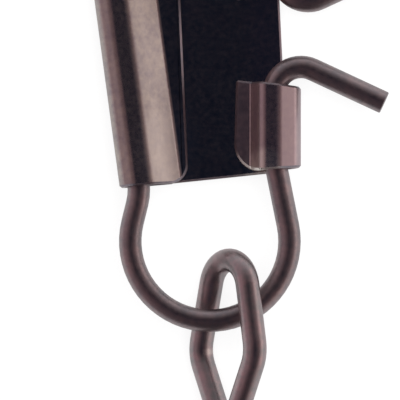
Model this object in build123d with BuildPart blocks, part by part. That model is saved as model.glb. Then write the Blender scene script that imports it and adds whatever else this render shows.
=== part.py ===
from build123d import *
import math
import os

# Fishing snap swivel, lying at rest on its back. Millimetres and degrees.
# Part frame: origin on the floor under the middle of the object, +Y towards the
# lure loop, +X to the hooked side of the snap, +Z up.

# Wire and sheet
WIRE_D = 1.0
SHEET_T = 0.3
WIRE_GAP = 0.05       # wire to the sheet folded round it
LAP_GAP = 0.03        # flap lying on the face of the plate

# Clasp plate, in the snap frame: u to the hooked side, v to the lure loop
PLATE_LENGTH = 12.15
SPINE_U = -4.04       # outer edge of the long fold at the swivel end
SPINE_TAPER = 2.7     # lean of the long fold
CATCH_U = 4.0         # outer edge of the catches at the swivel end
CATCH_TAPER = 5.0     # lean of the catches
FREE_EDGE_U = 3.43    # plate edge between the two catches
FREE_EDGE_TAPER = 2.2
CORNER_INSET = 0.1    # end corner of the plate, in from the fold of the catch
PLATE_RAKE = 0.1      # and back from the plate end
PLATE_CORNER_R = 0.5
FLAP_EDGE_U = -0.99   # free edge of the long flap at the swivel end
FLAP_EDGE_TAPER = 2.4
FLAP_CORNER_R = 0.85
SPINE_CREST = 0.52    # level top of the long fold ends this far in from the wire
SPINE_SLOPE = 1.31    # run of the slope from the crest down to the plate
SPINE_BEND_R = 0.45
SPINE_SIDE_ANGLE = 32.0   # outer side of the fold falls away this steeply
CATCH_CREST = 0.86
CATCH_SLOPE = 0.40
CATCH_BEND_R = 0.3
CATCH_SIDE_ANGLE = 31.0
OUTER_BEND_R = 0.5
CATCH_END = 0.2       # catch end set back from the plate end
CATCH_LENGTH = 3.56   # along the fold
CATCH_RAKE = 0.19     # fall of the inner end of the catch across its width
CATCH_LAP_U = 1.03    # free edge of the lower catch at its outer end
CATCH_LAP_LEAN = 0.11
CATCH_CORNER_R = 1.2
CATCH_TIP_R = 0.15
UPPER_SHIFT = 0.31    # free edge of the upper catch lies this much further out
SHEET_RUN = 4.5       # sheet drawn this far across the plate before it is trimmed

# Wire form
HOOK_R = 1.21
HOOK_TURN_ANGLE = 115.0   # from the leg to the finger tab
HOOK_INSET = 0.242        # lower hook starts this far inside its catch
HOOK_SLACK = 0.353        # and its leg stands off the inside of the fold
UPPER_HOOK_INSET = 0.465
UPPER_HOOK_SLACK = 0.045
TAB_LENGTH = 3.5
TAB_EDGE_R = 0.06
KINK_R = 2.5          # soft bend where a leg leaves the plate
SPINE_KINK = -0.3     # place of that bend, inward from the plate end
CATCH_KINK = 0.84
LOOP_R = 3.52         # swivel loop, to the wire centre
LOOP_U = -0.275
LOOP_FLARE = 1.336    # straight of wire from the long leg to the loop
LURE_R = 4.6          # lure loop, to the wire centre
LURE_U = 0.25
LURE_FLARE = 2.656

# Swivel
EYE_WIRE_D = 1.05
EYE_ARCH_R = 1.29
EYE_ARCH_SHIFT = 0.11 # crown of the arch stands a little off the axis
EYE_REACH = 2.58      # from the link point to the crown of the arch
EYE_WIDE = 1.97       # half width where the straight legs would meet the taper
EYE_KNEE = 1.55       # and its distance beyond the link point
EYE_TAPER = 26.9      # lean of each leg back to the axis
EYE_KNEE_R = 1.6
EYE_NECK_R = 1.0
LEG_GAP = 0.04        # between the two legs in the barrel
SHANK_GAP = 0.06      # shank to the bore of the barrel
BARREL_R = 2.0
BARREL_LENGTH = 7.8
BARREL_START = 4.9    # from the link point to the barrel
WALL_T = 0.38
SHOULDER_R = 0.95
WAIST_R = 1.62
DRUM_LENGTH = 1.6     # full diameter reached and held up to here from each end
HEAD_GAP = 0.05
HEAD_LENGTH = 0.8
HEAD_EDGE = 0.2
EYE_ROLL_ANGLE = 51.0     # eyes rest on the floor by one knee

# Resting pose
LINK_X = -0.22        # link point, where the eye hangs on the swivel loop
LINK_Y = -3.18
LINK_TURN_ANGLE = 8.0     # position of the link round the swivel loop
SNAP_YAW_ANGLE = 5.0

WIRE_R = WIRE_D / 2
EYE_WIRE_R = EYE_WIRE_D / 2
AXIS_Z = BARREL_R
FOLD_R = WIRE_R + WIRE_GAP
FOLD_MID = SHEET_T + FOLD_R
SHEET_MID_R = FOLD_R + SHEET_T / 2


def heading(angle):
    """Unit vector at an angle from the u axis."""
    return Vector(math.cos(math.radians(angle)), math.sin(math.radians(angle)))


def on_circle(centre, radius, angle):
    """Point of a circle at an angle."""
    return Vector(*centre) + heading(angle) * radius


def xy(point):
    """Point as plain coordinates of the working plane."""
    return point.X, point.Y


def lean(run, angle):
    """Sideways drift of a line over a run, at an angle to it."""
    return run * math.tan(math.radians(angle))


def touch_angle(point, centre, radius, side):
    """Angle on a circle where the straight from an outer point touches it."""
    away = Vector(*point) - Vector(*centre)
    base = math.degrees(math.atan2(away.Y, away.X))
    return base + side * math.degrees(math.acos(radius / away.length))


def loop_centre(u, radius, leg_end, flare, way):
    """Centre of a loop that the straight from a leg end meets after its flare."""
    across = u - leg_end.X
    along = math.sqrt(radius**2 + flare**2 - across**2)
    return u, leg_end.Y + way * along


# Fold lines of the sheet, and the ends of the wire leg in the long fold
spine_u = SPINE_U + SHEET_T + FOLD_R
catch_u = CATCH_U - SHEET_T - FOLD_R
spine_leg = 90 + SPINE_TAPER
lower_spine_end = Vector(spine_u, 0) + heading(spine_leg) * SPINE_KINK
upper_spine_end = Vector(spine_u, 0) + heading(spine_leg) * (PLATE_LENGTH - SPINE_KINK)
swivel_loop = loop_centre(LOOP_U, LOOP_R, lower_spine_end, LOOP_FLARE, -1)
lure_loop = loop_centre(LURE_U, LURE_R, upper_spine_end, LURE_FLARE, 1)

# The snap frame, tipped until the lure loop touches the floor
link = on_circle(swivel_loop, LOOP_R, LINK_TURN_ANGLE - 90)
tip_angle = math.asin((AXIS_Z - WIRE_R) / (lure_loop[1] + LURE_R - link.Y))
yaw = math.radians(SNAP_YAW_ANGLE)
link_frame = Plane(
    origin=(LINK_X, LINK_Y, AXIS_Z),
    x_dir=(math.cos(yaw), math.sin(yaw), 0),
    z_dir=(
        -math.sin(yaw) * math.sin(tip_angle),
        math.cos(yaw) * math.sin(tip_angle),
        math.cos(tip_angle),
    ),
)
snap_place = link_frame.location * Location((-link.X, -link.Y, -FOLD_MID))
snap_plane = Plane(snap_place)
wire_plane = Plane(snap_place * Location((0, 0, FOLD_MID)))
spine_place = snap_place * Location((spine_u, 0, 0), (0, 0, SPINE_TAPER))
catch_place = snap_place * Location((catch_u, 0, 0), (0, 0, 180 - CATCH_TAPER))
upright = Location((0, 0, 0), (90, 0, 0))

# Levels of the middle of the sheet, and how far a profile runs before it is trimmed
plate_mid = SHEET_T / 2
fold_top = 2 * FOLD_MID - plate_mid
lap_mid = SHEET_T + LAP_GAP + plate_mid
profile_run = 3 * PLATE_LENGTH
trim_height = 2 * FOLD_MID + SHEET_T
outside_u = 2 * CATCH_U


def folded_profile(wire_at, side_angle, crest, slope, bend_r):
    """Middle line of the sheet: out under the wire, up, over it and down again."""
    crest_out = wire_at - lean(SHEET_MID_R, side_angle / 2)
    side_top = fold_top - lean(crest_out + SHEET_MID_R, side_angle)
    crest_mid = (crest_out + crest) / 2
    FilletPolyline(
        (SHEET_RUN / 3, plate_mid),
        (-SHEET_MID_R, plate_mid),
        (-SHEET_MID_R, side_top),
        (crest_out, fold_top),
        (crest_mid, fold_top),
        radius=OUTER_BEND_R,
    )
    FilletPolyline(
        (crest_mid, fold_top),
        (crest, fold_top),
        (crest + slope, lap_mid),
        (SHEET_RUN, lap_mid),
        radius=bend_r,
    )


# Long fold over the wire leg
with BuildPart() as spine_fold:
    with BuildSketch(Plane(spine_place * upright)) as spine_section:
        with BuildLine():
            folded_profile(
                0, SPINE_SIDE_ANGLE, SPINE_CREST, SPINE_SLOPE, SPINE_BEND_R
            )
        trace(line_width=SHEET_T)
    extrude(amount=profile_run, both=True)
    with BuildSketch(snap_plane) as flap_outline:
        with BuildLine():
            Polyline(
                (-outside_u, 0),
                (FLAP_EDGE_U, 0),
                (FLAP_EDGE_U + lean(PLATE_LENGTH, FLAP_EDGE_TAPER), PLATE_LENGTH),
                (-outside_u, PLATE_LENGTH),
                close=True,
            )
        make_face()
        flap_corners = flap_outline.vertices().filter_by(lambda v: v.X > SPINE_U)
        fillet(flap_corners, FLAP_CORNER_R)
    extrude(amount=trim_height, mode=Mode.INTERSECT)

# Catches over the two hooks
catch_in = CATCH_END + CATCH_LENGTH
catch_out = catch_in - CATCH_RAKE * (outside_u - CATCH_U)
lap_in = catch_in + CATCH_RAKE * (CATCH_U - CATCH_LAP_U)


def folded_catch(wire_at, lap_u, plate_end, way):
    """Catch over a hook leg, from one end of the plate towards its middle."""
    with BuildPart() as catch:
        with BuildSketch(Plane(catch_place * upright)):
            with BuildLine():
                folded_profile(
                    wire_at, CATCH_SIDE_ANGLE, CATCH_CREST, CATCH_SLOPE, CATCH_BEND_R
                )
            trace(line_width=SHEET_T)
        extrude(amount=profile_run, both=True)
        with BuildSketch(snap_plane) as catch_outline:
            with BuildLine():
                Polyline(
                    (outside_u, plate_end + way * CATCH_END),
                    (lap_u, plate_end + way * CATCH_END),
                    (lap_u + CATCH_LAP_LEAN * lap_in, plate_end + way * lap_in),
                    (outside_u, plate_end + way * catch_out),
                    close=True,
                )
            make_face()
            lap_corners = catch_outline.vertices().sort_by_distance((lap_u, plate_end))
            fillet(lap_corners[0], CATCH_CORNER_R)
            fillet(lap_corners[1], CATCH_TIP_R)
        extrude(amount=trim_height, mode=Mode.INTERSECT)
    return catch.part


# Plate between the folds, joined with them
catch_far = PLATE_LENGTH - catch_in
upper_catch_u = catch_u + lean(PLATE_LENGTH, CATCH_TAPER)
with BuildPart() as clasp_plate:
    with BuildSketch(snap_plane) as plate_outline:
        with BuildLine():
            Polyline(
                (spine_u, 0),
                (catch_u - CORNER_INSET, PLATE_RAKE),
                (FREE_EDGE_U + lean(catch_in, FREE_EDGE_TAPER), catch_in),
                (FREE_EDGE_U + lean(catch_far, FREE_EDGE_TAPER), catch_far),
                (upper_catch_u - CORNER_INSET, PLATE_LENGTH - PLATE_RAKE),
                (spine_u - lean(PLATE_LENGTH, SPINE_TAPER), PLATE_LENGTH),
                close=True,
            )
        make_face()
        hooked_side = plate_outline.vertices().filter_by(lambda v: v.X > 0)
        end_corners = hooked_side.sort_by(Axis.Y)
        fillet([end_corners[0], end_corners[-1]], PLATE_CORNER_R)
    extrude(amount=SHEET_T)
    add(spine_fold.part)
    add(folded_catch(HOOK_SLACK, CATCH_LAP_U, 0, 1))
    add(folded_catch(UPPER_HOOK_SLACK, CATCH_LAP_U + UPPER_SHIFT, PLATE_LENGTH, -1))
clasp_plate.part.label = "clasp_plate"


def hook_centre(along, slack):
    """Centre of a hook whose leg stands off the inside of the catch fold."""
    on_fold = Vector(catch_u, 0) + heading(90 - CATCH_TAPER) * along
    return xy(on_fold + heading(-CATCH_TAPER) * (HOOK_R - slack))


# Snap wire: corners where each leg leaves the plate and flares to its loop
lower_hook = hook_centre(catch_in - HOOK_INSET, HOOK_SLACK)
upper_hook = hook_centre(PLATE_LENGTH - catch_in + UPPER_HOOK_INSET, UPPER_HOOK_SLACK)
hook_leg = 270 - CATCH_TAPER
lower_tab = hook_leg - HOOK_TURN_ANGLE
upper_tab = hook_leg + HOOK_TURN_ANGLE
lower_leg_in = on_circle(lower_hook, HOOK_R, hook_leg - 90)
upper_leg_out = on_circle(upper_hook, HOOK_R, hook_leg - 90)
lower_leg_run = catch_in - HOOK_INSET - CATCH_KINK
upper_leg_run = catch_in - UPPER_HOOK_INSET - CATCH_KINK
lower_catch_end = lower_leg_in + heading(hook_leg) * lower_leg_run
upper_catch_end = upper_leg_out - heading(hook_leg) * upper_leg_run
loop_from = touch_angle(lower_catch_end, swivel_loop, LOOP_R, -1)
loop_to = touch_angle(lower_spine_end, swivel_loop, LOOP_R, 1) - 360
lure_from = touch_angle(upper_spine_end, lure_loop, LURE_R, -1) + 360
lure_to = touch_angle(upper_catch_end, lure_loop, LURE_R, 1)
lower_tab_in = on_circle(lower_hook, HOOK_R, lower_tab - 90)
upper_tab_out = on_circle(upper_hook, HOOK_R, upper_tab - 90)
lower_tip = lower_tab_in - heading(lower_tab) * TAB_LENGTH
upper_tip = upper_tab_out + heading(upper_tab) * TAB_LENGTH

# Snap wire, one length from finger tab to finger tab
with BuildPart() as snap_wire:
    with BuildLine(wire_plane) as wire_path:
        Line(xy(lower_tip), xy(lower_tab_in))
        CenterArc(lower_hook, HOOK_R, lower_tab - 90, HOOK_TURN_ANGLE)
        FilletPolyline(
            xy(lower_leg_in),
            xy(lower_catch_end),
            xy(on_circle(swivel_loop, LOOP_R, loop_from)),
            radius=KINK_R,
        )
        CenterArc(swivel_loop, LOOP_R, loop_from, loop_to - loop_from)
        FilletPolyline(
            xy(on_circle(swivel_loop, LOOP_R, loop_to)),
            xy(lower_spine_end),
            xy(upper_spine_end),
            xy(on_circle(lure_loop, LURE_R, lure_from)),
            radius=KINK_R,
        )
        CenterArc(lure_loop, LURE_R, lure_from, lure_to - lure_from)
        FilletPolyline(
            xy(on_circle(lure_loop, LURE_R, lure_to)),
            xy(upper_catch_end),
            xy(upper_leg_out),
            radius=KINK_R,
        )
        CenterArc(upper_hook, HOOK_R, hook_leg - 90, HOOK_TURN_ANGLE)
        Line(xy(upper_tab_out), xy(upper_tip))
    wire_line = wire_path.wire()
    with BuildSketch(Plane(origin=wire_line @ 0, z_dir=wire_line % 0)):
        Circle(WIRE_R)
    sweep(path=wire_line)
    fillet(snap_wire.faces().filter_by(GeomType.PLANE).edges(), TAB_EDGE_R)
snap_wire.part.label = "snap_wire"

# Swivel frame: across the eye, and back towards the snap along the axis
eye_plane = Plane(Location((LINK_X, LINK_Y, AXIS_Z), (0, -EYE_ROLL_ANGLE, 0)))
swivel_axis = Axis((LINK_X, LINK_Y, AXIS_Z), (0, 1, 0))
leg_p = EYE_WIRE_R + LEG_GAP / 2
arch = (EYE_ARCH_SHIFT, EYE_REACH - EYE_ARCH_R)
arch_from = touch_angle((EYE_WIDE, -EYE_KNEE), arch, EYE_ARCH_R, 1)
arch_to = touch_angle((-EYE_WIDE, -EYE_KNEE), arch, EYE_ARCH_R, -1) + 360
neck_y = -EYE_KNEE - (EYE_WIDE - leg_p) / math.tan(math.radians(EYE_TAPER))
half_p = (EYE_WIDE + leg_p) / 2
half_y = (neck_y - EYE_KNEE) / 2
head_front = BARREL_START + WALL_T + HEAD_GAP
head_back = head_front + HEAD_LENGTH
head_mid = head_front + HEAD_LENGTH / 2
head_r = BARREL_R - WALL_T - HEAD_GAP
head_round = SHOULDER_R - WALL_T - HEAD_GAP

# Near eye: two legs of one wire, upset to a head inside the barrel
with BuildPart() as near_eye:
    with BuildLine(eye_plane) as eye_path:
        FilletPolyline(
            (leg_p, -head_mid),
            (leg_p, neck_y),
            (half_p, half_y),
            radius=EYE_NECK_R,
        )
        FilletPolyline(
            (half_p, half_y),
            (EYE_WIDE, -EYE_KNEE),
            xy(on_circle(arch, EYE_ARCH_R, arch_from)),
            radius=EYE_KNEE_R,
        )
        CenterArc(arch, EYE_ARCH_R, arch_from, arch_to - arch_from)
        FilletPolyline(
            xy(on_circle(arch, EYE_ARCH_R, arch_to)),
            (-EYE_WIDE, -EYE_KNEE),
            (-half_p, half_y),
            radius=EYE_KNEE_R,
        )
        FilletPolyline(
            (-half_p, half_y),
            (-leg_p, neck_y),
            (-leg_p, -head_mid),
            radius=EYE_NECK_R,
        )
    eye_line = eye_path.wire()
    with BuildSketch(Plane(origin=eye_line @ 0, z_dir=eye_line % 0)):
        Circle(EYE_WIRE_R)
    sweep(path=eye_line)
    with BuildSketch(eye_plane) as head_section:
        with BuildLine():
            Polyline(
                (head_r - head_round, -head_front),
                (0, -head_front),
                (0, -head_back),
                (head_r - HEAD_EDGE, -head_back),
                (head_r, -head_back + HEAD_EDGE),
                (head_r, -head_front - head_round),
            )
            CenterArc((head_r - head_round, -head_front - head_round), head_round, 0, 90)
        make_face()
    revolve(axis=swivel_axis)
near_eye.part.label = "near_eye"

# Barrel: thin tube swaged in over both heads, waisted between them
bore_r = leg_p + EYE_WIRE_R + SHANK_GAP
bore_inner_r = BARREL_R - WALL_T
half_length = BARREL_LENGTH / 2
shoulder = (BARREL_R - SHOULDER_R, SHOULDER_R)
outer_mouth = math.degrees(math.acos((bore_r - shoulder[0]) / SHOULDER_R))
inner_mouth = math.degrees(math.acos((bore_r - shoulder[0]) / (SHOULDER_R - WALL_T)))
barrel_middle = LINK_Y - BARREL_START - half_length
barrel_plane = Plane(
    origin=(LINK_X, LINK_Y - BARREL_START, AXIS_Z),
    x_dir=(1, 0, 0),
    z_dir=(0, 0, -1),
)
with BuildPart() as barrel:
    with BuildSketch(barrel_plane) as barrel_section:
        with BuildLine():
            CenterArc(shoulder, SHOULDER_R, 0, -outer_mouth)
            Line((BARREL_R, SHOULDER_R), (BARREL_R, DRUM_LENGTH))
            Spline(
                (BARREL_R, DRUM_LENGTH),
                (WAIST_R, half_length),
                tangents=[(0, 1), (0, 1)],
            )
            Line((WAIST_R, half_length), (WAIST_R - WALL_T, half_length))
            Spline(
                (bore_inner_r, DRUM_LENGTH),
                (WAIST_R - WALL_T, half_length),
                tangents=[(0, 1), (0, 1)],
            )
            Line((bore_inner_r, SHOULDER_R), (bore_inner_r, DRUM_LENGTH))
            CenterArc(shoulder, SHOULDER_R - WALL_T, 0, -inner_mouth)
            Line(
                xy(on_circle(shoulder, SHOULDER_R, -outer_mouth)),
                xy(on_circle(shoulder, SHOULDER_R - WALL_T, -inner_mouth)),
            )
        make_face()
    revolve(axis=swivel_axis)
    mirror(about=Plane.XZ.offset(-barrel_middle))
barrel.part.label = "barrel"

# Far eye: the same form turned end for end about the barrel
with BuildPart() as far_eye:
    add(near_eye.part.rotate(Axis((LINK_X, barrel_middle, AXIS_Z), (0, 0, 1)), 180))
far_eye.part.label = "far_eye"

os.makedirs("parts", exist_ok=True)
export_step(clasp_plate.part, "parts/clasp_plate.step")
export_step(snap_wire.part, "parts/snap_wire.step")
export_step(near_eye.part, "parts/near_eye.step")
export_step(barrel.part, "parts/barrel.step")
export_step(far_eye.part, "parts/far_eye.step")
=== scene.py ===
import math

import bpy
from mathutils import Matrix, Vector


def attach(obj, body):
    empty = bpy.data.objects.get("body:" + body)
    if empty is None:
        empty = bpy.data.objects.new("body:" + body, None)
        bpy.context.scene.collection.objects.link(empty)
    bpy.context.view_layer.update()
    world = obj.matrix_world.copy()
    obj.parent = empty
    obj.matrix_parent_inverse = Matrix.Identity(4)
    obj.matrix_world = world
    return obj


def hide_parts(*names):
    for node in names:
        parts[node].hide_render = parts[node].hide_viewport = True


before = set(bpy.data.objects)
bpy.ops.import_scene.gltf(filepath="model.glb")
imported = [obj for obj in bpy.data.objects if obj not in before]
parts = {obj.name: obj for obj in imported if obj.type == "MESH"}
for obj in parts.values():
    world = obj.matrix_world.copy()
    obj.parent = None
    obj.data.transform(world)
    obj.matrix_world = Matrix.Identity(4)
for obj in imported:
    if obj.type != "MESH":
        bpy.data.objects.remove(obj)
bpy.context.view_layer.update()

MM = 0.001

# Framing of the photograph, which looks straight down
PHOTO_PIXELS = 400
PIXELS_PER_MM = 22.6
VIEW_CENTRE = Vector((-1.448, 2.063, 1.2)) * MM   # middle of the picture, at the wire's height
CAMERA_HEIGHT = 0.7
SENSOR_WIDTH = 36.0
NEAREST_SEEN = 0.01
FURTHEST_SEEN = 20.0

# Floor and lamp of the studio, in metres and watts
FLOOR_SIZE = 8.0
FLOOR_PAINT = (0.9, 0.9, 0.9, 1)
FLOOR_GLOW_SHARE = 0.85    # the rest is paint, which takes the shadow
FLOOR_IN_METAL = 0.6       # brightness of the floor as the metal mirrors it
LAMP_SIZE = 0.8
LAMP_POWER = 7.5
LAMP_PLACE = (0.15, 0.15, 0.5)

# Light of each wall at the floor and at these heights (sine of the elevation)
WALL_HEIGHTS = (0.3, 0.6, 0.8, 0.93)
RIGHT_WALL = (
    (0.95, 0.86, 0.80),
    (1.24, 1.07, 1.03),
    (0.26, 0.16, 0.17),
    (0.14, 0.10, 0.10),
    (0.10, 0.08, 0.10),
)
LEFT_WALL = (
    (0.72, 0.55, 0.59),
    (0.40, 0.28, 0.30),
    (0.47, 0.35, 0.37),
    (0.22, 0.145, 0.145),
    (0.18, 0.12, 0.14),
)
FAR_WALL = (
    (1.00, 0.98, 0.99),
    (0.66, 0.65, 0.67),
    (0.40, 0.37, 0.39),
    (0.24, 0.23, 0.23),
    (0.04, 0.03, 0.04),
)
NEAR_WALL = (
    (0.12, 0.10, 0.11),
    (0.08, 0.07, 0.08),
    (0.06, 0.05, 0.06),
    (0.05, 0.04, 0.05),
    (0.09, 0.08, 0.10),
)
CEILING = (0.0, 0.008, 0.022)
WALL_FALLOFF = 2           # power by which a wall's light fades to its sides

# Pressed sheet of the clasp
EDGE_BREAK = 0.09 * MM     # tumbling breaks every edge of the sheet this far
SHORT_EDGE = 0.02 * MM     # shorter edges of the solid's mesh are closed up first
FLAT_ANGLE = 0.5           # faces that turn less than this are joined
EDGE_ANGLE = 40            # and sharper turns than this are edges
SMOOTH_ANGLE = 30
LEVEL_COSINE = 0.999       # a face this parallel to the plate is level
FOOT_HEIGHTS = (0.2 * MM, 0.5 * MM)      # a foot of a catch lies between these, over the plate
CREST_HEIGHTS = (0.975 * MM, 1.3 * MM)   # between these a fold is dulled more and more

# Black nickel: warm and cool tint of its clouds, roughness of its smooth and dull
# grain, and the roughness that bends and crests add
SHEET = dict(
    warm=(0.50, 0.44, 0.405, 1), cool=(0.37, 0.325, 0.335, 1),
    smooth=0.15, dull=0.23, bends=0.14, crests=0.09,
)
# sheet edges tinted darker than the sheet: painted shade that dims the broken edges'
# reflection
EDGE = dict(
    warm=(0.34, 0.27, 0.29, 1), cool=(0.24, 0.225, 0.26, 1), smooth=0.30, dull=0.40,
)
FOOT = dict(
    warm=(0.44, 0.34, 0.36, 1), cool=(0.31, 0.26, 0.29, 1), smooth=0.35, dull=0.46,
)
TUBE = dict(
    warm=(0.42, 0.355, 0.335, 1), cool=(0.33, 0.29, 0.30, 1), smooth=0.20, dull=0.30,
)
WIRE = dict(
    warm=(0.38, 0.30, 0.305, 1), cool=(0.27, 0.245, 0.26, 1), smooth=0.32, dull=0.44,
)
EYE = dict(
    warm=(0.44, 0.335, 0.345, 1), cool=(0.31, 0.295, 0.30, 1), smooth=0.28, dull=0.38,
)
# pale metal tint: painted highlights on the clasp, and the pale spot on the eye
PALE_SPOT_AND_HIGHLIGHT_TINT = (0.80, 0.74, 0.69, 1)
# rose tint: painted reflection of the reddish walls on the catches and the plate's right edge
PAINTED_ROSE_REFLECTION = (0.52, 0.40, 0.44, 1)
PEEL_DEPTH = 4e-6          # height of the waves of the plating, in metres
CLOUD_CONTRAST = (0.36, 0.64)
GRAIN_CONTRAST = (0.3, 0.75)
BENT_COSINES = (0.985, 0.85)   # upward share of the normal where a bend starts and is full
PATCH_FADE = (1.0, 0.35)       # share of its half size where a patch starts and is full

# Patches of painted highlight, of painted rose reflection, and a pale spot on the eye: middle
# and size in millimetres from above, strength and tint
# painted highlight: the lower end of the long fold's slope tinted pale
PAINTED_HIGHLIGHT_FLAP_END = ((-2.95, 4.3), (3.4, 5.4), 0.42, PALE_SPOT_AND_HIGHLIGHT_TINT)
# painted highlights: the catch's bottom edge and its lower-left corner tinted pale
PAINTED_HIGHLIGHT_CATCH_EDGE = ((1.05, 3.75), (2.8, 1.7), 1.0, PALE_SPOT_AND_HIGHLIGHT_TINT)
PAINTED_HIGHLIGHT_CATCH_CORNER = ((1.35, 3.65), (1.9, 2.0), 0.85, PALE_SPOT_AND_HIGHLIGHT_TINT)
# a pale spot painted on the near eye's left leg
PALE_SPOT_ON_EYE = ((-1.08, -4.66), (0.70, 0.40), 0.38, PALE_SPOT_AND_HIGHLIGHT_TINT)
# painted rose reflection over the catches and the plate's right edge
PAINTED_ROSE_REFLECTION_CATCHES = ((2.4, 8.8), (4.6, 26.0), 0.6, PAINTED_ROSE_REFLECTION)


def wire_up(tree, *pairs):
    """Join output sockets to input sockets of a node tree."""
    for outgoing, incoming in pairs:
        tree.links.new(outgoing, incoming)


def add_node(tree, kind, **settings):
    """Add a node; settings are values of its inputs, or its own properties."""
    node = tree.nodes.new(kind)
    for name, value in settings.items():
        label = name.replace("_", " ").title()
        if label in node.inputs:
            node.inputs[label].default_value = value
        else:
            setattr(node, name, value)
    return node


def add_group(tree, group, **settings):
    """Place a node group; settings are values of its inputs, such as cloud_scale."""
    node = tree.nodes.new("ShaderNodeGroup")
    node.node_tree = group
    for name, value in settings.items():
        node.inputs[name.replace("_", " ").capitalize()].default_value = value
    return node


def new_group(name, inputs, outputs):
    """Start a shader node group with named inputs and outputs."""
    group = bpy.data.node_groups.new(name, "ShaderNodeTree")
    for label, kind, value in inputs:
        socket = group.interface.new_socket(label, in_out="INPUT", socket_type=kind)
        socket.default_value = value
    for label, kind in outputs:
        group.interface.new_socket(label, in_out="OUTPUT", socket_type=kind)
    return group, group.nodes.new("NodeGroupInput"), group.nodes.new("NodeGroupOutput")


def clouded_plating():
    """Plating that clouds between two tints, and grains between two finishes."""
    group, given, result = new_group(
        "Clouded plating",
        [
            ("Warm", "NodeSocketColor", SHEET["warm"]),
            ("Cool", "NodeSocketColor", SHEET["cool"]),
            ("Cloud scale", "NodeSocketFloat", 900.0),
            ("Mottle scale", "NodeSocketFloat", 3600.0),
            ("Mottle share", "NodeSocketFloat", 0.5),
            ("Grain scale", "NodeSocketFloat", 5200.0),
            ("Smooth", "NodeSocketFloat", SHEET["smooth"]),
            ("Dull", "NodeSocketFloat", SHEET["dull"]),
        ],
        [("Color", "NodeSocketColor"), ("Roughness", "NodeSocketFloat")],
    )
    thin, thick = CLOUD_CONTRAST
    fine, coarse = GRAIN_CONTRAST
    place = add_node(group, "ShaderNodeTexCoord")
    cloud = add_node(group, "ShaderNodeTexNoise", detail=4.0, roughness=0.6)
    mottle = add_node(group, "ShaderNodeTexNoise", detail=3.0, roughness=0.6)
    blotch = add_node(group, "ShaderNodeMix", data_type="FLOAT")
    grain = add_node(group, "ShaderNodeTexNoise", detail=3.0, roughness=0.55)
    spread = add_node(group, "ShaderNodeMapRange", from_min=thin, from_max=thick)
    speck = add_node(group, "ShaderNodeMapRange", from_min=fine, from_max=coarse)
    tint = add_node(group, "ShaderNodeMix", data_type="RGBA")
    finish = add_node(group, "ShaderNodeMix", data_type="FLOAT")
    wire_up(
        group,
        (place.outputs["Object"], cloud.inputs["Vector"]),
        (place.outputs["Object"], mottle.inputs["Vector"]),
        (place.outputs["Object"], grain.inputs["Vector"]),
        (given.outputs["Cloud scale"], cloud.inputs["Scale"]),
        (given.outputs["Mottle scale"], mottle.inputs["Scale"]),
        (given.outputs["Mottle share"], blotch.inputs["Factor"]),
        (given.outputs["Grain scale"], grain.inputs["Scale"]),
        (cloud.outputs["Fac"], blotch.inputs["A"]),
        (mottle.outputs["Fac"], blotch.inputs["B"]),
        (blotch.outputs["Result"], spread.inputs["Value"]),
        (grain.outputs["Fac"], speck.inputs["Value"]),
        (spread.outputs["Result"], tint.inputs["Factor"]),
        (given.outputs["Cool"], tint.inputs["A"]),
        (given.outputs["Warm"], tint.inputs["B"]),
        (speck.outputs["Result"], finish.inputs["Factor"]),
        (given.outputs["Smooth"], finish.inputs["A"]),
        (given.outputs["Dull"], finish.inputs["B"]),
        (tint.outputs["Result"], result.inputs["Color"]),
        (finish.outputs["Result"], result.inputs["Roughness"]),
    )
    return group


def orange_peel():
    """Height of the shallow waves and the grain that plating leaves on metal."""
    group, given, result = new_group(
        "Orange peel",
        [
            ("Wave scale", "NodeSocketFloat", 1500.0),
            ("Grain scale", "NodeSocketFloat", 9000.0),
            ("Grain share", "NodeSocketFloat", 0.25),
        ],
        [("Height", "NodeSocketFloat")],
    )
    place = add_node(group, "ShaderNodeTexCoord")
    wave = add_node(group, "ShaderNodeTexNoise", detail=2.0)
    grain = add_node(group, "ShaderNodeTexNoise", detail=2.0)
    both = add_node(group, "ShaderNodeMix", data_type="FLOAT")
    wire_up(
        group,
        (place.outputs["Object"], wave.inputs["Vector"]),
        (place.outputs["Object"], grain.inputs["Vector"]),
        (given.outputs["Wave scale"], wave.inputs["Scale"]),
        (given.outputs["Grain scale"], grain.inputs["Scale"]),
        (given.outputs["Grain share"], both.inputs["Factor"]),
        (wave.outputs["Fac"], both.inputs["A"]),
        (grain.outputs["Fac"], both.inputs["B"]),
        (both.outputs["Result"], result.inputs["Height"]),
    )
    return group


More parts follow.
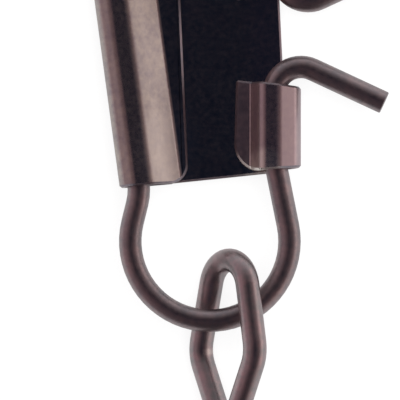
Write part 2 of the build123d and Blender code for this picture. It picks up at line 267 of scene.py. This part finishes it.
def bend_dulling():
    """Roughness raised where the surface is bent or slopes, and on the high crests."""
    group, given, result = new_group(
        "Bend dulling",
        [
            ("Roughness", "NodeSocketFloat", 0.2),
            ("Added on bends", "NodeSocketFloat", 0.0),
            ("Added on crests", "NodeSocketFloat", 0.0),
            ("Plate middle", "NodeSocketVector", (0, 0, 0)),
            ("Plate facing", "NodeSocketVector", (0, 0, 1)),
        ],
        [("Roughness", "NodeSocketFloat")],
    )
    low, high = CREST_HEIGHTS
    level, bent = BENT_COSINES
    place = add_node(group, "ShaderNodeTexCoord")
    above = add_node(group, "ShaderNodeVectorMath", operation="SUBTRACT")
    height = add_node(group, "ShaderNodeVectorMath", operation="DOT_PRODUCT")
    crest = add_node(group, "ShaderNodeMapRange", from_min=low, from_max=high)
    handled = add_node(group, "ShaderNodeMath", operation="MULTIPLY_ADD")
    axes = add_node(group, "ShaderNodeSeparateXYZ")
    upright = add_node(group, "ShaderNodeMath", operation="ABSOLUTE")
    bend = add_node(group, "ShaderNodeMapRange", from_min=level, from_max=bent)
    raised = add_node(group, "ShaderNodeMath", operation="MULTIPLY_ADD")
    wire_up(
        group,
        (place.outputs["Normal"], axes.inputs["Vector"]),
        (axes.outputs["Z"], upright.inputs[0]),
        (upright.outputs[0], bend.inputs["Value"]),
        (bend.outputs["Result"], raised.inputs[0]),
        (given.outputs["Added on bends"], raised.inputs[1]),
        (given.outputs["Roughness"], raised.inputs[2]),
        (place.outputs["Object"], above.inputs[0]),
        (given.outputs["Plate middle"], above.inputs[1]),
        (above.outputs[0], height.inputs[0]),
        (given.outputs["Plate facing"], height.inputs[1]),
        (height.outputs["Value"], crest.inputs["Value"]),
        (crest.outputs["Result"], handled.inputs[0]),
        (given.outputs["Added on crests"], handled.inputs[1]),
        (raised.outputs[0], handled.inputs[2]),
        (handled.outputs[0], result.inputs["Roughness"]),
    )
    return group


def painted_light_patch():
    """Mask of an oval patch, strongest in its middle and broken up by grain; it places painted
    highlights, painted reflection tint and the eye's pale spot.
    """
    group, given, result = new_group(
        "Painted light patch",
        [
            ("Middle", "NodeSocketVector", (0, 0, 0)),
            ("Stretch", "NodeSocketVector", (1, 1, 0)),
            ("Strength", "NodeSocketFloat", 1.0),
            ("Grain scale", "NodeSocketFloat", 3000.0),
            ("Grain share", "NodeSocketFloat", 0.5),
        ],
        [("Mask", "NodeSocketFloat")],
    )
    rim, core = PATCH_FADE
    place = add_node(group, "ShaderNodeTexCoord")
    away = add_node(group, "ShaderNodeVectorMath", operation="SUBTRACT")
    scaled = add_node(group, "ShaderNodeVectorMath", operation="MULTIPLY")
    reach = add_node(group, "ShaderNodeVectorMath", operation="LENGTH")
    grain = add_node(group, "ShaderNodeTexNoise", detail=3.0, roughness=0.6)
    shift = add_node(group, "ShaderNodeMath", operation="SUBTRACT")
    shift.inputs[1].default_value = 0.5    # the noise swings round this value
    broken = add_node(group, "ShaderNodeMath", operation="MULTIPLY_ADD")
    fade = add_node(
        group, "ShaderNodeMapRange",
        interpolation_type="SMOOTHSTEP", from_min=rim, from_max=core,
    )
    mask = add_node(group, "ShaderNodeMath", operation="MULTIPLY")
    wire_up(
        group,
        (place.outputs["Object"], away.inputs[0]),
        (given.outputs["Middle"], away.inputs[1]),
        (away.outputs[0], scaled.inputs[0]),
        (given.outputs["Stretch"], scaled.inputs[1]),
        (scaled.outputs[0], reach.inputs[0]),
        (place.outputs["Object"], grain.inputs["Vector"]),
        (given.outputs["Grain scale"], grain.inputs["Scale"]),
        (grain.outputs["Fac"], shift.inputs[0]),
        (shift.outputs[0], broken.inputs[0]),
        (given.outputs["Grain share"], broken.inputs[1]),
        (reach.outputs["Value"], broken.inputs[2]),
        (broken.outputs[0], fade.inputs["Value"]),
        (fade.outputs["Result"], mask.inputs[0]),
        (given.outputs["Strength"], mask.inputs[1]),
        (mask.outputs[0], result.inputs["Mask"]),
    )
    return group


def plated_metal(name, warm, cool, smooth, dull, bends=0, crests=0, patches=()):
    """Black nickel: clouded, slightly wavy, duller on bends, with its own painted patches of
    highlight, rose reflection and pale spot.
    """
    material = bpy.data.materials.new(name)
    material.use_nodes = True
    tree = material.node_tree
    shader = tree.nodes["Principled BSDF"]
    shader.inputs["Metallic"].default_value = 1.0
    tone = add_group(tree, plating_group, warm=warm, cool=cool, smooth=smooth, dull=dull)
    peel = add_group(tree, peel_group)
    bump = add_node(tree, "ShaderNodeBump", strength=1.0, distance=PEEL_DEPTH)
    dulling = add_group(
        tree, dulling_group,
        added_on_bends=bends, added_on_crests=crests,
        plate_middle=plate_middle, plate_facing=plate_facing,
    )
    color = tone.outputs["Color"]
    for (x, y), (width, length), strength, tint in patches:
        patch = add_group(
            tree, patch_group,
            middle=(x * MM, y * MM, 0),
            stretch=(2 / (width * MM), 2 / (length * MM), 0),
            strength=strength,
        )
        painted_tint = add_node(tree, "ShaderNodeMix", data_type="RGBA")
        painted_tint.inputs["B"].default_value = tint
        wire_up(
            tree,
            (patch.outputs["Mask"], painted_tint.inputs["Factor"]),
            (color, painted_tint.inputs["A"]),
        )
        color = painted_tint.outputs["Result"]
    wire_up(
        tree,
        (color, shader.inputs["Base Color"]),
        (tone.outputs["Roughness"], dulling.inputs["Roughness"]),
        (dulling.outputs["Roughness"], shader.inputs["Roughness"]),
        (peel.outputs["Height"], bump.inputs["Height"]),
        (bump.outputs["Normal"], shader.inputs["Normal"]),
    )
    return material


def dull_the_feet(clasp, slot):
    """Put the metal of a slot on the level feet of the catches, which fingers rub."""
    low, high = FOOT_HEIGHTS
    for face in clasp.data.polygons:
        height = (face.center - plate_middle).dot(plate_facing)
        level = face.normal.dot(plate_facing) > LEVEL_COSINE
        if level and face.center.x > 0 and low < height < high:
            face.material_index = slot


def pressed_clasp():
    """Clasp plate after press and tumbler: the solid's own form, its edges broken."""
    bpy.ops.object.select_all(action="DESELECT")
    solid = parts["clasp_plate"]
    clasp = solid.copy()
    clasp.data = solid.data.copy()
    clasp.name = "pressed_clasp"
    bpy.context.scene.collection.objects.link(clasp)
    bpy.context.view_layer.objects.active = clasp
    clasp.select_set(True)
    bpy.ops.mesh.customdata_custom_splitnormals_clear()
    bpy.ops.object.mode_set(mode="EDIT")
    bpy.ops.mesh.select_all(action="SELECT")
    bpy.ops.mesh.remove_doubles(threshold=SHORT_EDGE)
    bpy.ops.mesh.dissolve_limited(angle_limit=math.radians(FLAT_ANGLE))
    bpy.ops.object.mode_set(mode="OBJECT")
    clasp.material_slots[0].material = sheet_metal
    clasp.data.materials.append(edge_metal)
    clasp.data.materials.append(foot_metal)
    dull_the_feet(clasp, slot=2)
    edges = clasp.modifiers.new("broken edges", "BEVEL")
    edges.width = EDGE_BREAK
    edges.segments = 1
    edges.limit_method = "ANGLE"
    edges.angle_limit = math.radians(EDGE_ANGLE)
    edges.use_clamp_overlap = False
    # the broken edges take the darker tint of painted shade
    edges.material = 1
    bpy.ops.object.modifier_apply(modifier=edges.name)
    bpy.ops.object.shade_smooth_by_angle(angle=math.radians(SMOOTH_ANGLE))
    flats = clasp.modifiers.new("flat faces stay flat", "WEIGHTED_NORMAL")
    flats.keep_sharp = True
    bpy.ops.object.modifier_apply(modifier=flats.name)
    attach(clasp, "snap")
    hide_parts("clasp_plate")


def wall_light(tree, place, height, way, tones):
    """Light of one wall, which fades to its sides, and upwards into the ceiling's."""
    facing = add_node(tree, "ShaderNodeVectorMath", operation="DOT_PRODUCT")
    facing.inputs[1].default_value = way
    front = add_node(tree, "ShaderNodeMath", operation="MAXIMUM")
    front.inputs[1].default_value = 0
    share = add_node(tree, "ShaderNodeMath", operation="POWER")
    share.inputs[1].default_value = WALL_FALLOFF
    fall = add_node(tree, "ShaderNodeValToRGB")
    stops = fall.color_ramp.elements
    stops[0].color = (*tones[0], 1)
    stops[-1].color = (*CEILING, 1)
    for level, tone in zip(WALL_HEIGHTS, tones[1:]):
        stops.new(level).color = (*tone, 1)
    lit = add_node(tree, "ShaderNodeVectorMath", operation="SCALE")
    wire_up(
        tree,
        (place, facing.inputs[0]),
        (facing.outputs["Value"], front.inputs[0]),
        (front.outputs[0], share.inputs[0]),
        (height, fall.inputs["Fac"]),
        (fall.outputs["Color"], lit.inputs[0]),
        (share.outputs[0], lit.inputs["Scale"]),
    )
    return lit.outputs[0]


def studio_world():
    """Four walls under a dark ceiling, brightest to the right and dark in front."""
    world = bpy.data.worlds.new("Studio")
    bpy.context.scene.world = world
    world.use_nodes = True
    tree = world.node_tree
    place = add_node(tree, "ShaderNodeTexCoord")
    up = add_node(tree, "ShaderNodeSeparateXYZ")
    flat = add_node(tree, "ShaderNodeVectorMath", operation="MULTIPLY")
    flat.inputs[1].default_value = (1, 1, 0)
    around = add_node(tree, "ShaderNodeVectorMath", operation="NORMALIZE")
    wire_up(
        tree,
        (place.outputs["Generated"], up.inputs["Vector"]),
        (place.outputs["Generated"], flat.inputs[0]),
        (flat.outputs[0], around.inputs[0]),
    )
    total = None
    for way, tones in (
        ((1, 0, 0), RIGHT_WALL),
        ((-1, 0, 0), LEFT_WALL),
        ((0, 1, 0), FAR_WALL),
        ((0, -1, 0), NEAR_WALL),
    ):
        light = wall_light(tree, around.outputs[0], up.outputs["Z"], way, tones)
        if total is not None:
            both = add_node(tree, "ShaderNodeVectorMath", operation="ADD")
            wire_up(tree, (total, both.inputs[0]), (light, both.inputs[1]))
            light = both.outputs[0]
        total = light
    ray = add_node(tree, "ShaderNodeLightPath")
    shown = add_node(tree, "ShaderNodeMix", data_type="RGBA")
    shown.inputs["B"].default_value = (1, 1, 1, 1)
    wire_up(
        tree,
        (ray.outputs["Is Camera Ray"], shown.inputs["Factor"]),
        (total, shown.inputs["A"]),
        (shown.outputs["Result"], tree.nodes["Background"].inputs["Color"]),
    )


def white_floor():
    """Pale floor that shows white to the camera and keeps a share of the shadow."""
    bpy.ops.object.select_all(action="DESELECT")
    bpy.ops.mesh.primitive_plane_add(size=FLOOR_SIZE, location=(0, 0, 0))
    floor = bpy.context.object
    floor.name = "floor"
    material = bpy.data.materials.new("White floor")
    material.use_nodes = True
    tree = material.node_tree
    shader = tree.nodes["Principled BSDF"]
    shader.inputs["Base Color"].default_value = FLOOR_PAINT
    shader.inputs["Roughness"].default_value = 1.0
    shader.inputs["Specular IOR Level"].default_value = 0.0
    glow = add_node(tree, "ShaderNodeEmission")
    ray = add_node(tree, "ShaderNodeLightPath")
    dimmed = add_node(tree, "ShaderNodeMapRange", to_min=FLOOR_IN_METAL)
    seen = add_node(tree, "ShaderNodeMath", operation="MAXIMUM")
    seen_all = add_node(tree, "ShaderNodeMath", operation="MAXIMUM")
    share = add_node(tree, "ShaderNodeMath", operation="MULTIPLY")
    share.inputs[1].default_value = FLOOR_GLOW_SHARE
    blend = add_node(tree, "ShaderNodeMixShader")
    wire_up(
        tree,
        (ray.outputs["Is Camera Ray"], dimmed.inputs["Value"]),
        (dimmed.outputs["Result"], glow.inputs["Strength"]),
        (ray.outputs["Is Camera Ray"], seen.inputs[0]),
        (ray.outputs["Is Glossy Ray"], seen.inputs[1]),
        (seen.outputs[0], seen_all.inputs[0]),
        (ray.outputs["Is Transmission Ray"], seen_all.inputs[1]),
        (seen_all.outputs[0], share.inputs[0]),
        (share.outputs[0], blend.inputs["Fac"]),
        (shader.outputs["BSDF"], blend.inputs[1]),
        (glow.outputs["Emission"], blend.inputs[2]),
        (blend.outputs["Shader"], tree.nodes["Material Output"].inputs["Surface"]),
    )
    floor.data.materials.append(material)


def soft_overhead():
    """Wide lamp above, which lights the floor but isn't mirrored in the metal."""
    lamp = bpy.data.lights.new("overhead", "AREA")
    lamp.shape = "DISK"
    lamp.size = LAMP_SIZE
    lamp.energy = LAMP_POWER
    holder = bpy.data.objects.new("overhead", lamp)
    bpy.context.scene.collection.objects.link(holder)
    holder.location = LAMP_PLACE
    holder.visible_camera = False
    holder.visible_glossy = False


def photo_camera():
    """Camera straight above the object, framed as the photograph."""
    width = PHOTO_PIXELS / PIXELS_PER_MM * MM
    camera = bpy.data.cameras.new("camera")
    camera.sensor_width = SENSOR_WIDTH
    camera.lens = SENSOR_WIDTH * (CAMERA_HEIGHT - VIEW_CENTRE.z) / width
    camera.clip_start = NEAREST_SEEN
    camera.clip_end = FURTHEST_SEEN
    holder = bpy.data.objects.new("camera", camera)
    bpy.context.scene.collection.objects.link(holder)
    holder.location = (VIEW_CENTRE.x, VIEW_CENTRE.y, CAMERA_HEIGHT)
    bpy.context.scene.camera = holder


# The plate's upper face, which the heights of folds and feet are taken from
plate_face = max(
    (face for face in parts["clasp_plate"].data.polygons if face.normal.z > 0),
    key=lambda face: face.area,
)
plate_middle = plate_face.center.copy()
plate_facing = plate_face.normal.copy()

plating_group = clouded_plating()
peel_group = orange_peel()
dulling_group = bend_dulling()
patch_group = painted_light_patch()

sheet_metal = plated_metal(
    "Black nickel sheet", **SHEET,
    patches=[PAINTED_ROSE_REFLECTION_CATCHES, PAINTED_HIGHLIGHT_FLAP_END, PAINTED_HIGHLIGHT_CATCH_CORNER],
)
foot_metal = plated_metal("Rubbed catch foot", **FOOT, patches=[PAINTED_HIGHLIGHT_CATCH_CORNER])
edge_metal = plated_metal("Sheet edge, painted shade and highlight", **EDGE, patches=[PAINTED_HIGHLIGHT_CATCH_EDGE])
tube_metal = plated_metal("Black nickel tube", **TUBE)
wire_metal = plated_metal("Black nickel wire", **WIRE)
eye_metal = plated_metal("Black nickel eye wire", **EYE, patches=[PALE_SPOT_ON_EYE])

for name, metal in (
    ("barrel", tube_metal),
    ("snap_wire", wire_metal),
    ("near_eye", eye_metal),
    ("far_eye", eye_metal),
):
    parts[name].material_slots[0].material = metal

pressed_clasp()
studio_world()
white_floor()
soft_overhead()
photo_camera()

bpy.context.scene.view_settings.view_transform = "Standard"
